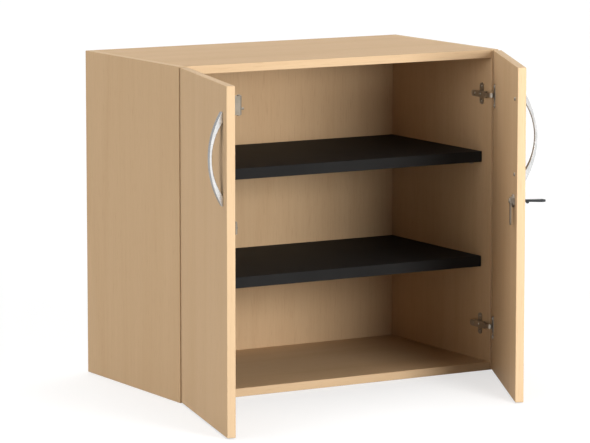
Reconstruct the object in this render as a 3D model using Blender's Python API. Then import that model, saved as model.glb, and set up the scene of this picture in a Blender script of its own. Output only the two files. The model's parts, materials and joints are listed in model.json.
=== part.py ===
"""Office cupboard: a board carcass with two shelves, two hinged doors, bow handles and a cam lock.

Metres, +Z up, +X to the right seen from the front, +Y towards the back. The origin lies under the
middle of the bottom panel, on the surface that carries the cupboard. Both doors stand open.
"""

import math

import bmesh
import bpy
from mathutils import Matrix, Vector

# Carcass boards
WIDTH = 0.800
HEIGHT = 0.715
DEPTH = 0.430
BOARD = 0.018
BOARD_ROUND = 0.0008
FIT = 0.0003
OVERCUT = 0.001

# Back panel in its grooves
BACK_THICKNESS = 0.008
BACK_RECESS = 0.009
GROOVE_DEPTH = 0.008

# Dowels that hold the top and bottom panels between the sides
DOWEL_RADIUS = 0.004
DOWEL_IN_SIDE = 0.011
DOWEL_IN_PANEL = 0.020
DOWEL_FROM_FRONT = 0.085
DOWEL_FROM_REAR = 0.105
DOWEL_CHAMFER = 0.001

# Shelves on stepped pins
SHELF_THICKNESS = 0.024
SHELF_SETBACK = 0.035
SHELF_SIDE_GAP = 0.001
SHELF_BACK_GAP = 0.002
SHELF_ROUND = 0.001
PIN_RADIUS = 0.0025
PIN_REST_RADIUS = 0.0035
PIN_IN_SIDE = 0.009
PIN_REACH = 0.009
PIN_FROM_SHELF_EDGE = 0.037

# Doors, which overlay the whole front
DOOR_THICKNESS = 0.018
DOOR_ROUND = 0.0015
DOOR_BEHIND_GAP = 0.0025
DOOR_END_GAP = 0.0015
DOOR_SIDE_GAP = 0.0015
DOOR_MIDDLE_GAP = 0.003
LEFT_OPEN = math.radians(105)
RIGHT_OPEN = math.radians(64)

# Single-pivot cup hinges
PIVOT_FROM_EDGE = 0.0075
PIVOT_DEPTH = 0.0089
HINGE_FROM_DOOR_END = 0.0985
CUP_RADIUS = 0.0175
CUP_DEPTH = 0.013
CUP_WALL = 0.0008
CUP_FROM_EDGE = 0.003
CUP_WING_LENGTH = 0.054
CUP_WING_WIDTH = 0.013
CUP_WING_THICKNESS = 0.0012
CUP_WING_OFFSET = 0.0095
HINGE_PIN_RADIUS = 0.00125
EYE_RADIUS = 0.0026
ARM_THICKNESS = 0.002
ARM_NECK_WIDTH = 0.009
ARM_NECK_RISE = math.radians(10)
ARM_NECK_RUN = 0.0105
ARM_BEND_RADIUS = 0.007
ARM_STRAP_WIDTH = 0.014
ARM_STRAP_THICKNESS = 0.0024
ARM_STRAP_START = 0.006
ARM_STRAP_LENGTH = 0.058
ARM_LAP = 0.004
PLATE_FROM_FRONT = 0.037
PLATE_RAIL_LENGTH = 0.040
PLATE_RAIL_WIDTH = 0.012
PLATE_WING_LENGTH = 0.048
PLATE_WING_WIDTH = 0.014
PLATE_WING_THICKNESS = 0.002

# Bow handles, a crescent whose two feet stand on the door
HANDLE_LENGTH = 0.1905
HANDLE_RISE = 0.028
HANDLE_GAP_LENGTH = 0.1485
HANDLE_GAP_RISE = 0.0227
HANDLE_WIDTH = 0.016
HANDLE_TIP = 0.0024
HANDLE_ROUND = 0.0011
HANDLE_HOLES = 0.160
HANDLE_FROM_TOP = 0.1495
HANDLE_FROM_FREE_EDGE = 0.035
SCREW_RADIUS = 0.002
SCREW_GRIP = 0.007
SCREW_HEAD_RADIUS = 0.004
SCREW_HEAD_HEIGHT = 0.0024

# Cam lock through the right door
LOCK_FROM_TOP = 0.286
LOCK_FROM_FREE_EDGE = 0.040
BARREL_RADIUS = 0.009
BARREL_BEHIND = 0.0065
ROSE_RADIUS = 0.0115
ROSE_THICKNESS = 0.002
PLUG_RADIUS = 0.0065
TAIL_WIDTH = 0.008
NUT_RADIUS = 0.014
NUT_THICKNESS = 0.0045
CAM_LENGTH = 0.052
CAM_WIDTH = 0.017
CAM_THICKNESS = 0.0025
CAM_SCREW_RADIUS = 0.0015
CAM_SCREW_GRIP = 0.006
CAM_SCREW_HEAD_RADIUS = 0.0055
CAM_SCREW_HEAD_HEIGHT = 0.0022

# Key, blade flat
BLADE_LENGTH = 0.020
BLADE_WIDTH = 0.0075
BLADE_THICKNESS = 0.002
SHANK_LENGTH = 0.002
SHANK_RADIUS = 0.0036
TONGUE_LENGTH = 0.012
TONGUE_WIDTH = 0.005
TONGUE_THICKNESS = 0.0012
BOW_LENGTH = 0.044
BOW_WIDTH = 0.020
BOW_NECK_WIDTH = 0.011
BOW_THICKNESS = 0.0045
BOW_ROUND = 0.0008
KNUCKLE_RADIUS = 0.0036
KNUCKLE_DROP = 0.002
KNUCKLE_FROM_NECK = 0.0046
RING_HOLE_RADIUS = 0.0035
RING_HOLE_FROM_END = 0.0085

# Strike for the cam and sliding bolt, both on the inside of the left door
STRIKE_LENGTH = 0.030
STRIKE_HEIGHT = 0.026
STRIKE_THICKNESS = 0.0045
STRIKE_FROM_FREE_EDGE = 0.002
STRIKE_ROUND = 0.0015
BOLT_FROM_FREE_EDGE = 0.022
BOLT_RADIUS = 0.0035
BOLT_LENGTH = 0.042
BOLT_PROUD = 0.002
BOLT_TRAVEL = 0.013
BOLT_OFF_DOOR = 0.0125
BOLT_SLOT_PLAY = 0.001
BOLT_SLOT_DEPTH = 0.011
GUIDE_FROM_DOOR_TOP = 0.022
GUIDE_LENGTH = 0.038
GUIDE_BASE_WIDTH = 0.024
GUIDE_BASE_THICKNESS = 0.0025
GUIDE_BARREL_RADIUS = 0.006
KNOB_RADIUS = 0.0025
KNOB_REACH = 0.0105
KNOB_FROM_BOLT_TOP = 0.028

# Worked out from the sizes above
FRONT = -DEPTH / 2
REAR = DEPTH / 2
INNER_HALF = WIDTH / 2 - BOARD
BACK_FACE = REAR - BACK_RECESS - BACK_THICKNESS
SHELF_SPACE = (HEIGHT - 2 * BOARD - 2 * SHELF_THICKNESS) / 3
SHELF_BOTTOMS = {"lower": BOARD + SHELF_SPACE, "upper": BOARD + 2 * SHELF_SPACE + SHELF_THICKNESS}
SHELF_FRONT = FRONT + SHELF_SETBACK
SHELF_REAR = BACK_FACE - SHELF_BACK_GAP
PIN_ROWS = {"front": SHELF_FRONT + PIN_FROM_SHELF_EDGE, "rear": SHELF_REAR - PIN_FROM_SHELF_EDGE}
DOWEL_ROWS = {"front": FRONT + DOWEL_FROM_FRONT, "rear": REAR - DOWEL_FROM_REAR}
DOWEL_LEVELS = {"bottom": BOARD / 2, "top": HEIGHT - BOARD / 2}
DOOR_BOTTOM = DOOR_END_GAP
DOOR_TOP = HEIGHT - DOOR_END_GAP
DOOR_WIDTH = (WIDTH - DOOR_MIDDLE_GAP) / 2 - DOOR_SIDE_GAP
FREE_EDGE = DOOR_WIDTH - PIVOT_FROM_EDGE
FACE_IN = -PIVOT_DEPTH
FACE_OUT = DOOR_THICKNESS - PIVOT_DEPTH
PIVOT_X = WIDTH / 2 - DOOR_SIDE_GAP - PIVOT_FROM_EDGE
PIVOT_Y = FRONT - DOOR_BEHIND_GAP - PIVOT_DEPTH
CARCASS_OUT = -PIVOT_DEPTH - DOOR_BEHIND_GAP
HINGE_LEVELS = {"lower": DOOR_BOTTOM + HINGE_FROM_DOOR_END, "upper": DOOR_TOP - HINGE_FROM_DOOR_END}
CUP_CENTRE = CUP_FROM_EDGE + CUP_RADIUS - PIVOT_FROM_EDGE
CUP_BORE = CUP_RADIUS - CUP_WALL
ARM_LINE = (
    ARM_NECK_RUN * math.cos(ARM_NECK_RISE) + ARM_BEND_RADIUS * math.sin(ARM_NECK_RISE) + ARM_BEND_RADIUS
)
HANDLE_MIDDLE = DOOR_TOP - HANDLE_FROM_TOP
HANDLE_LINE = FREE_EDGE - HANDLE_FROM_FREE_EDGE
LOCK_LINE = FREE_EDGE - LOCK_FROM_FREE_EDGE
LOCK_LEVEL = DOOR_TOP - LOCK_FROM_TOP
LOCK_FRONT = FACE_OUT + FIT + ROSE_THICKNESS
LOCK_REAR = FACE_IN - BARREL_BEHIND
CAM_REAR = LOCK_REAR - FIT - CAM_THICKNESS
SHANK_END = LOCK_FRONT + FIT + SHANK_LENGTH
BOLT_LINE = FREE_EDGE - BOLT_FROM_FREE_EDGE
GUIDE_TOP = DOOR_TOP - GUIDE_FROM_DOOR_TOP
GUIDE_BOTTOM = GUIDE_TOP - GUIDE_LENGTH
BOLT_TOP = GUIDE_TOP + BOLT_PROUD
KNOB_LEVEL = BOLT_TOP - KNOB_FROM_BOLT_TOP

# Each side's sign along X, and the directions on a closed door: from hinge to free edge, out to the front, up
SIDES = {"left": -1, "right": 1}
ALONG = Vector((1, 0, 0))
OUT = Vector((0, 1, 0))
UP = Vector((0, 0, 1))


def clear_scene():
    """Starts from an empty scene."""
    for old in list(bpy.data.objects):
        bpy.data.objects.remove(old, do_unlink=True)


def finish(name, colour, roughness, metallic=0.0):
    """A plain surface finish."""
    material = bpy.data.materials.new(name)
    material.use_nodes = True
    shader = material.node_tree.nodes["Principled BSDF"]
    shader.inputs["Base Color"].default_value = (*colour, 1.0)
    shader.inputs["Roughness"].default_value = roughness
    shader.inputs["Metallic"].default_value = metallic
    return material


def axes(place, origin, x_axis, y_axis, z_axis):
    """A frame inside place, with its origin and its three directions."""
    frame = Matrix((x_axis, y_axis, z_axis)).transposed().to_4x4()
    frame.translation = origin
    return place @ frame


def leaf(side):
    """A door's own frame: (along, out, up) from its hinge axis, for the left or the right door."""
    return Matrix.Diagonal((-SIDES[side], -1, 1, 1))


def hinge_line(side):
    """The same frame set on the carcass, with its origin on the hinge axis at floor level."""
    return Matrix.Translation((SIDES[side] * PIVOT_X, PIVOT_Y, 0)) @ leaf(side)


def add_box(shape, low, high, place=Matrix()):
    """Adds a block between two corners."""
    low, high = Vector(low), Vector(high)
    block = Matrix.Translation((low + high) / 2) @ Matrix.Diagonal((*(high - low), 1))
    bmesh.ops.create_cube(shape, size=1, matrix=place @ block)


def add_rod(shape, start, end, radius, sides=16, place=Matrix()):
    """Adds a round bar, or with few sides a hexagon bar, between two points."""
    start, end = place @ Vector(start), place @ Vector(end)
    run = end - start
    bar = Matrix.Translation((start + end) / 2) @ run.to_track_quat("Z", "Y").to_matrix().to_4x4()
    bmesh.ops.create_cone(
        shape, cap_ends=True, segments=sides, radius1=radius, radius2=radius, depth=run.length, matrix=bar
    )


def add_prism(shape, outline, length, place):
    """Adds an outline in place's XY plane, drawn out along its Z axis."""
    base = shape.faces.new([shape.verts.new(place @ Vector((a, b, 0))) for a, b in outline])
    grown = bmesh.ops.extrude_face_region(shape, geom=[base])["geom"]
    far_end = [item for item in grown if isinstance(item, bmesh.types.BMVert)]
    bmesh.ops.translate(shape, verts=far_end, vec=place.to_3x3() @ Vector((0, 0, length)))


def add_turned(shape, profile, place, sides=16):
    """Adds a profile of (radius, height) points, from axis to axis, turned about place's Z axis."""
    turned = bmesh.new()
    line = [turned.verts.new((radius, 0, height)) for radius, height in profile]
    edges = [turned.edges.new(pair) for pair in zip(line, line[1:])]
    bmesh.ops.spin(turned, geom=line + edges, axis=(0, 0, 1), angle=math.tau, steps=sides, use_merge=True)
    bmesh.ops.remove_doubles(turned, verts=turned.verts, dist=1e-7)
    bmesh.ops.transform(turned, matrix=place, verts=turned.verts)
    mesh = bpy.data.meshes.new("turned")
    turned.to_mesh(mesh)
    turned.free()
    shape.from_mesh(mesh)
    bpy.data.meshes.remove(mesh)


def arc(centre, radius, start, end, steps):
    """Points on an arc, from one angle to another."""
    angles = [start + (end - start) * step / steps for step in range(steps + 1)]
    return [(centre[0] + radius * math.cos(a), centre[1] + radius * math.sin(a)) for a in angles]


def bow(half_span, rise, steps):
    """Points on an arc over a chord, from its right end to its left end."""
    radius = (half_span**2 + rise**2) / (2 * rise)
    half_angle = math.asin(half_span / radius)
    quarter = math.pi / 2
    return arc((0, rise - radius), radius, quarter - half_angle, quarter + half_angle, steps)


def add_object(name, shape, parent):
    """Turns a finished shape into an object under its parent."""
    bmesh.ops.recalc_face_normals(shape, faces=shape.faces)
    mesh = bpy.data.meshes.new(name)
    shape.to_mesh(mesh)
    shape.free()
    made = bpy.data.objects.new(name, mesh)
    made.parent = parent
    bpy.context.collection.objects.link(made)
    return made


def solid(name, shape, surface, parent=None, rounding=0.0, rounding_angle=math.radians(40)):
    """One piece of the cupboard, with its finish and its edges rounded."""
    piece = add_object(name, shape, parent)
    piece.data.materials.append(surface)
    piece.data.shade_smooth()
    piece.data.set_sharp_from_angle(angle=math.radians(35))
    if rounding:
        edge = piece.modifiers.new("rounded edges", "BEVEL")
        edge.width = rounding
        edge.segments = 2
        edge.limit_method = "ANGLE"
        edge.angle_limit = rounding_angle
    return piece


def combine(piece, shape, operation):
    """Cuts a shape out of a piece, or welds it on."""
    tool = add_object(f"{piece.name}_{operation.lower()}_{len(piece.modifiers)}", shape, piece.parent)
    tool.hide_render = True
    tool.display_type = "WIRE"
    step = piece.modifiers.new(operation.lower(), "BOOLEAN")
    step.operation = operation
    step.object = tool


def axis_empty(name, location, parent=None, turn=0.0):
    """An empty on a joint's axis, which carries the pieces that move."""
    empty = bpy.data.objects.new(name, None)
    empty.location = location
    empty.rotation_euler.z = turn
    empty.parent = parent
    bpy.context.collection.objects.link(empty)
    return empty


def build_side_panel(side, boards):
    """A side with its back groove and the blind holes for dowels and shelf pins."""
    sign = SIDES[side]
    inner = sign * INNER_HALF
    outer = sign * WIDTH / 2
    shape = bmesh.new()
    add_box(shape, (min(inner, outer), FRONT, 0), (max(inner, outer), REAR, HEIGHT))
    panel = solid(f"{side}_side_panel", shape, boards, rounding=BOARD_ROUND)
    cuts = bmesh.new()
    groove = (inner - sign * OVERCUT, inner + sign * GROOVE_DEPTH)
    add_box(
        cuts,
        (min(groove), BACK_FACE - FIT, BOARD - GROOVE_DEPTH),
        (max(groove), BACK_FACE + BACK_THICKNESS + FIT, HEIGHT - BOARD + GROOVE_DEPTH),
    )
    mouth = inner - sign * OVERCUT
    for y in DOWEL_ROWS.values():
        for z in DOWEL_LEVELS.values():
            end = inner + sign * (DOWEL_IN_SIDE + FIT)
            add_rod(cuts, (mouth, y, z), (end, y, z), DOWEL_RADIUS + FIT)
    for y in PIN_ROWS.values():
        for shelf in SHELF_BOTTOMS:
            z = pin_level(shelf)
            end = inner + sign * (PIN_IN_SIDE + FIT)
            add_rod(cuts, (mouth, y, z), (end, y, z), PIN_RADIUS + FIT)
    combine(panel, cuts, "DIFFERENCE")


def pin_level(shelf):
    """Height of a shelf pin's axis."""
    return SHELF_BOTTOMS[shelf] - FIT - PIN_REST_RADIUS


def build_end_panel(level, boards):
    """The top or bottom panel between the sides: back groove, dowel holes and, on top, the bolt's slot."""
    low = DOWEL_LEVELS[level] - BOARD / 2
    half = INNER_HALF - FIT
    shape = bmesh.new()
    add_box(shape, (-half, FRONT, low), (half, REAR, low + BOARD))
    panel = solid(f"{level}_panel", shape, boards, rounding=BOARD_ROUND)
    cuts = bmesh.new()
    if level == "top":
        groove = (low - OVERCUT, low + GROOVE_DEPTH)
    else:
        groove = (low + BOARD - GROOVE_DEPTH, low + BOARD + OVERCUT)
    add_box(
        cuts,
        (-INNER_HALF - OVERCUT, BACK_FACE - FIT, groove[0]),
        (INNER_HALF + OVERCUT, BACK_FACE + BACK_THICKNESS + FIT, groove[1]),
    )
    for sign in SIDES.values():
        for y in DOWEL_ROWS.values():
            start = (sign * (INNER_HALF + OVERCUT), y, DOWEL_LEVELS[level])
            end = (sign * (INNER_HALF - DOWEL_IN_PANEL - FIT), y, DOWEL_LEVELS[level])
            add_rod(cuts, start, end, DOWEL_RADIUS + FIT)
    if level == "top":
        half_slot = BOLT_RADIUS + BOLT_SLOT_PLAY
        slot_out = FACE_IN - BOLT_OFF_DOOR
        add_box(
            cuts,
            (BOLT_LINE - half_slot, slot_out - half_slot, low - OVERCUT),
            (BOLT_LINE + half_slot, slot_out + half_slot, low + BOLT_SLOT_DEPTH),
            hinge_line("left"),
        )
    combine(panel, cuts, "DIFFERENCE")


def build_back_panel(boards):
    """The thin back, held in the grooves of all four boards."""
    half = INNER_HALF + GROOVE_DEPTH - FIT
    low = BOARD - GROOVE_DEPTH + FIT
    shape = bmesh.new()
    add_box(shape, (-half, BACK_FACE, low), (half, BACK_FACE + BACK_THICKNESS, HEIGHT - low))
    solid("back_panel", shape, boards)


def build_dowels(wood):
    """Dowels across the four corner joints."""
    end = DOWEL_RADIUS - DOWEL_CHAMFER
    profile = [
        (0, -DOWEL_IN_SIDE),
        (end, -DOWEL_IN_SIDE),
        (DOWEL_RADIUS, DOWEL_CHAMFER - DOWEL_IN_SIDE),
        (DOWEL_RADIUS, DOWEL_IN_PANEL - DOWEL_CHAMFER),
        (end, DOWEL_IN_PANEL),
        (0, DOWEL_IN_PANEL),
    ]
    for side, sign in SIDES.items():
        for level, z in DOWEL_LEVELS.items():
            for row, y in DOWEL_ROWS.items():
                inward = Vector((-sign, 0, 0))
                shape = bmesh.new()
                add_turned(shape, profile, axes(Matrix(), (sign * INNER_HALF, y, z), OUT, UP, inward))
                solid(f"{side}_{level}_{row}_dowel", shape, wood)


def build_shelf(shelf, boards, metal):
    """One shelf and the four stepped pins that it lies on."""
    low = SHELF_BOTTOMS[shelf]
    half = INNER_HALF - SHELF_SIDE_GAP
    shape = bmesh.new()
    add_box(shape, (-half, SHELF_FRONT, low), (half, SHELF_REAR, low + SHELF_THICKNESS))
    solid(f"{shelf}_shelf", shape, boards, rounding=SHELF_ROUND)
    chamfer = PIN_REST_RADIUS - PIN_RADIUS
    profile = [
        (0, -PIN_IN_SIDE),
        (PIN_RADIUS, -PIN_IN_SIDE),
        (PIN_RADIUS, FIT),
        (PIN_REST_RADIUS, FIT),
        (PIN_REST_RADIUS, PIN_REACH - chamfer),
        (PIN_RADIUS, PIN_REACH),
        (0, PIN_REACH),
    ]
    for side, sign in SIDES.items():
        for row, y in PIN_ROWS.items():
            place = axes(Matrix(), (sign * INNER_HALF, y, pin_level(shelf)), OUT, UP, Vector((-sign, 0, 0)))
            pin = bmesh.new()
            add_turned(pin, profile, place)
            solid(f"{shelf}_shelf_{side}_{row}_pin", pin, metal)


def build_hinge_arm(side, level, metal):
    """The gooseneck arm: an eye on the pin, a neck that bends out of the cup and a strap on the plate."""
    place = hinge_line(side)
    height = HINGE_LEVELS[level]
    strap_front = CARCASS_OUT - ARM_STRAP_START
    strap_rear = strap_front - ARM_STRAP_LENGTH
    half_width = ARM_STRAP_WIDTH / 2
    quarter = math.pi / 2
    outline = [(strap_front, half_width)]
    outline += arc((strap_rear + half_width, 0), half_width, quarter, 3 * quarter, 8)
    outline += [(strap_front, -half_width)]
    strap = bmesh.new()
    strap_side = ARM_LINE - ARM_STRAP_THICKNESS / 2
    add_prism(strap, outline, ARM_STRAP_THICKNESS, axes(place, (strap_side, 0, height), OUT, UP, ALONG))
    arm = solid(f"{side}_{level}_hinge_arm", strap, metal)

    half = ARM_THICKNESS / 2
    rise = Vector((math.cos(ARM_NECK_RISE), math.sin(ARM_NECK_RISE)))
    across = Vector((-rise.y, rise.x))
    bend = rise * ARM_NECK_RUN - across * ARM_BEND_RADIUS
    neck_end = strap_front - ARM_LAP
    outline = [tuple(across * half)]
    outline += arc(bend, ARM_BEND_RADIUS + half, quarter + ARM_NECK_RISE, 0, 8)
    outline += [(ARM_LINE + half, neck_end), (ARM_LINE - half, neck_end)]
    outline += arc(bend, ARM_BEND_RADIUS - half, 0, quarter + ARM_NECK_RISE, 8)
    outline += [tuple(-across * half)]
    neck = bmesh.new()
    neck_bottom = height - ARM_NECK_WIDTH / 2
    add_prism(neck, outline, ARM_NECK_WIDTH, axes(place, (0, 0, neck_bottom), ALONG, OUT, UP))
    combine(arm, neck, "UNION")
    eye = bmesh.new()
    add_rod(eye, (0, 0, neck_bottom), (0, 0, neck_bottom + ARM_NECK_WIDTH), EYE_RADIUS, place=place)
    combine(arm, eye, "UNION")
    bore = bmesh.new()
    ends = (neck_bottom - OVERCUT, neck_bottom + ARM_NECK_WIDTH + OVERCUT)
    add_rod(bore, (0, 0, ends[0]), (0, 0, ends[1]), HINGE_PIN_RADIUS + FIT, place=place)
    combine(arm, bore, "DIFFERENCE")


def build_hinge_plate(side, level, metal):
    """The plate on the side panel: a rail under the arm and a wing for its two screws."""
    place = hinge_line(side)
    height = HINGE_LEVELS[level]
    foot = PIVOT_X - INNER_HALF + FIT
    middle = CARCASS_OUT - PLATE_FROM_FRONT
    rail = bmesh.new()
    rail_top = ARM_LINE - ARM_STRAP_THICKNESS / 2 - FIT
    add_box(
        rail,
        (foot, middle - PLATE_RAIL_LENGTH / 2, height - PLATE_RAIL_WIDTH / 2),
        (rail_top, middle + PLATE_RAIL_LENGTH / 2, height + PLATE_RAIL_WIDTH / 2),
        place,
    )
    plate = solid(f"{side}_{level}_hinge_plate", rail, metal)
    wing = bmesh.new()
    half_wing = PLATE_WING_WIDTH / 2
    straight = PLATE_WING_LENGTH / 2 - half_wing
    outline = arc((0, straight), half_wing, 0, math.pi, 8)
    outline += arc((0, -straight), half_wing, math.pi, math.tau, 8)
    add_prism(wing, outline, PLATE_WING_THICKNESS, axes(place, (foot, middle, height), OUT, UP, ALONG))
    combine(plate, wing, "UNION")


def build_hinge_cup(side, level, metal, door_axis):
    """The cup in the door, open to the inside, with a wing on the inner face and a pin across it."""
    place = leaf(side)
    height = HINGE_LEVELS[level]
    floor = FACE_IN + CUP_DEPTH
    wing_top = FACE_IN - FIT - CUP_WING_THICKNESS
    pot = bmesh.new()
    add_rod(pot, (CUP_CENTRE, FACE_IN, height), (CUP_CENTRE, floor, height), CUP_RADIUS, 32, place)
    cup = solid(f"{side}_{level}_hinge_cup", pot, metal, door_axis)
    quarter = math.pi / 2
    collar = bmesh.new()
    collar_top = wing_top + FIT
    outline = arc((CUP_CENTRE, height), CUP_RADIUS - CUP_WALL / 4, -quarter, quarter, 15)
    collar_depth = FACE_IN + CUP_WALL - collar_top
    add_prism(collar, outline, collar_depth, axes(place, (0, collar_top, 0), ALONG, UP, OUT))
    combine(cup, collar, "UNION")
    wing = bmesh.new()
    wing_line = CUP_CENTRE + CUP_WING_OFFSET
    half_wing = CUP_WING_WIDTH / 2
    straight = CUP_WING_LENGTH / 2 - half_wing
    outline = arc((wing_line, height + straight), half_wing, 0, math.pi, 8)
    outline += arc((wing_line, height - straight), half_wing, math.pi, math.tau, 8)
    add_prism(wing, outline, CUP_WING_THICKNESS, axes(place, (0, wing_top, 0), ALONG, UP, OUT))
    combine(cup, wing, "UNION")
    bore = bmesh.new()
    mouth = wing_top - OVERCUT
    add_rod(bore, (CUP_CENTRE, mouth, height), (CUP_CENTRE, floor - CUP_WALL, height), CUP_BORE, 32, place)
    combine(cup, bore, "DIFFERENCE")
    pin = bmesh.new()
    reach = math.sqrt(CUP_BORE**2 - (CUP_CENTRE + HINGE_PIN_RADIUS) ** 2) - FIT
    add_rod(pin, (0, 0, height - reach), (0, 0, height + reach), HINGE_PIN_RADIUS, place=place)
    solid(f"{side}_{level}_hinge_pin", pin, metal, door_axis)


def build_door(side, boards, door_axis):
    """A door with its cup pockets, handle holes and, on the right, the hole for the lock."""
    place = leaf(side)
    shape = bmesh.new()
    add_box(shape, (-PIVOT_FROM_EDGE, FACE_IN, DOOR_BOTTOM), (FREE_EDGE, FACE_OUT, DOOR_TOP), place)
    door = solid(f"{side}_door", shape, boards, door_axis, DOOR_ROUND)
    cuts = bmesh.new()
    for z in HINGE_LEVELS.values():
        pocket_floor = FACE_IN + CUP_DEPTH + FIT
        mouth = FACE_IN - OVERCUT
        add_rod(cuts, (CUP_CENTRE, mouth, z), (CUP_CENTRE, pocket_floor, z), CUP_RADIUS + FIT, 32, place)
    through = (FACE_IN - OVERCUT, FACE_OUT + OVERCUT)
    for z in handle_hole_levels():
        start, end = ((HANDLE_LINE, out, z) for out in through)
        add_rod(cuts, start, end, SCREW_RADIUS + FIT, place=place)
    if side == "right":
        start, end = ((LOCK_LINE, out, LOCK_LEVEL) for out in through)
        add_rod(cuts, start, end, BARREL_RADIUS + FIT, 24, place)
    combine(door, cuts, "DIFFERENCE")


def handle_hole_levels():
    """Heights of a handle's lower and upper screw."""
    return HANDLE_MIDDLE - HANDLE_HOLES / 2, HANDLE_MIDDLE + HANDLE_HOLES / 2


def build_handle(side, bright, metal, door_axis):
    """A bow handle with its two screws, put in from inside the door."""
    place = leaf(side)
    half_length = HANDLE_LENGTH / 2
    outer = [(a, b + HANDLE_TIP) for a, b in bow(half_length, HANDLE_RISE - HANDLE_TIP, 24)]
    inner = bow(HANDLE_GAP_LENGTH / 2, HANDLE_GAP_RISE, 18)
    outline = [(half_length, 0), *outer, (-half_length, 0), *reversed(inner)]
    shape = bmesh.new()
    foot = FACE_OUT + FIT
    corner = (HANDLE_LINE - HANDLE_WIDTH / 2, foot, HANDLE_MIDDLE)
    add_prism(shape, outline, HANDLE_WIDTH, axes(place, corner, UP, OUT, ALONG))
    handle = solid(f"{side}_handle", shape, bright, door_axis, HANDLE_ROUND, math.radians(60))
    cuts = bmesh.new()
    head_seat = FACE_IN - FIT
    tip = foot + SCREW_GRIP
    for end, z in zip(("lower", "upper"), handle_hole_levels()):
        start, stop = (HANDLE_LINE, foot - OVERCUT, z), (HANDLE_LINE, tip + FIT, z)
        add_rod(cuts, start, stop, SCREW_RADIUS + FIT, place=place)
        profile = [
            (0, -SCREW_HEAD_HEIGHT),
            (SCREW_HEAD_RADIUS / 2, -SCREW_HEAD_HEIGHT),
            (SCREW_HEAD_RADIUS, -SCREW_HEAD_HEIGHT / 2),
            (SCREW_HEAD_RADIUS, 0),
            (SCREW_RADIUS, 0),
            (SCREW_RADIUS, tip - head_seat),
            (0, tip - head_seat),
        ]
        screw = bmesh.new()
        add_turned(screw, profile, axes(place, (HANDLE_LINE, head_seat, z), ALONG, UP, OUT))
        solid(f"{side}_handle_{end}_screw", screw, metal, door_axis)
    combine(handle, cuts, "DIFFERENCE")


def build_lock(metal, door_axis, lock_axis):
    """The barrel and nut in the right door, and the plug with its cam, which turn on the lock's axis."""
    door_place = axes(leaf("right"), (LOCK_LINE, 0, LOCK_LEVEL), ALONG, OUT, UP)
    body = bmesh.new()
    profile = [
        (0, LOCK_REAR),
        (BARREL_RADIUS, LOCK_REAR),
        (BARREL_RADIUS, FACE_OUT + FIT),
        (ROSE_RADIUS, FACE_OUT + FIT),
        (ROSE_RADIUS, LOCK_FRONT - ROSE_THICKNESS / 2),
        (ROSE_RADIUS - ROSE_THICKNESS / 2, LOCK_FRONT),
        (0, LOCK_FRONT),
    ]
    add_turned(body, profile, axes(door_place, (0, 0, 0), ALONG, UP, OUT), 24)
    barrel = solid("lock_barrel", body, metal, door_axis)
    bore = bmesh.new()
    ends = ((0, LOCK_REAR - OVERCUT, 0), (0, LOCK_FRONT + OVERCUT, 0))
    add_rod(bore, *ends, PLUG_RADIUS + FIT, 24, door_place)
    combine(barrel, bore, "DIFFERENCE")
    ring = bmesh.new()
    nut_seat = FACE_IN - FIT
    add_rod(ring, (0, nut_seat - NUT_THICKNESS, 0), (0, nut_seat, 0), NUT_RADIUS, 6, door_place)
    nut = solid("lock_nut", ring, metal, door_axis)
    hole = bmesh.new()
    ends = ((0, nut_seat - NUT_THICKNESS - OVERCUT, 0), (0, nut_seat + OVERCUT, 0))
    add_rod(hole, *ends, BARREL_RADIUS + FIT, 24, door_place)
    combine(nut, hole, "DIFFERENCE")

    place = leaf("right")
    core = bmesh.new()
    add_rod(core, (0, LOCK_REAR, 0), (0, LOCK_FRONT - FIT, 0), PLUG_RADIUS, 24, place)
    plug = solid("lock_plug", core, metal, lock_axis)
    tail = bmesh.new()
    half_tail = TAIL_WIDTH / 2
    add_box(tail, (-half_tail, CAM_REAR, -half_tail), (half_tail, LOCK_REAR + OVERCUT, half_tail), place)
    combine(plug, tail, "UNION")
    cuts = bmesh.new()
    half_slot = (BLADE_WIDTH / 2 + FIT, BLADE_THICKNESS / 2 + FIT)
    slot_end = LOCK_FRONT - BLADE_LENGTH - FIT
    add_box(
        cuts,
        (-half_slot[0], slot_end, -half_slot[1]),
        (half_slot[0], LOCK_FRONT + OVERCUT, half_slot[1]),
        place,
    )
    screw_tip = CAM_REAR + CAM_SCREW_GRIP
    add_rod(cuts, (0, CAM_REAR - OVERCUT, 0), (0, screw_tip + FIT, 0), CAM_SCREW_RADIUS + FIT, place=place)
    combine(plug, cuts, "DIFFERENCE")

    half_cam = CAM_WIDTH / 2
    half_end = half_cam - half_tail / 2
    outline = arc((0, 0), half_cam, 0, math.pi, 12)
    outline += arc((0, half_end - CAM_LENGTH), half_end, math.pi, math.tau, 12)
    lever = bmesh.new()
    add_prism(lever, outline, CAM_THICKNESS, axes(place, (0, CAM_REAR, 0), ALONG, UP, OUT))
    cam = solid("lock_cam", lever, metal, lock_axis)
    square = bmesh.new()
    half_square = half_tail + FIT
    add_box(
        square,
        (-half_square, CAM_REAR - OVERCUT, -half_square),
        (half_square, LOCK_REAR + OVERCUT, half_square),
        place,
    )
    combine(cam, square, "DIFFERENCE")
    screw_seat = CAM_REAR - FIT
    profile = [
        (0, screw_seat - CAM_SCREW_HEAD_HEIGHT),
        (CAM_SCREW_HEAD_RADIUS - CAM_SCREW_HEAD_HEIGHT / 2, screw_seat - CAM_SCREW_HEAD_HEIGHT),
        (CAM_SCREW_HEAD_RADIUS, screw_seat - CAM_SCREW_HEAD_HEIGHT / 2),
        (CAM_SCREW_HEAD_RADIUS, screw_seat),
        (CAM_SCREW_RADIUS, screw_seat),
        (CAM_SCREW_RADIUS, screw_tip),
        (0, screw_tip),
    ]
    screw = bmesh.new()
    add_turned(screw, profile, axes(place, (0, 0, 0), ALONG, UP, OUT))
    solid("cam_screw", screw, metal, lock_axis)


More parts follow.
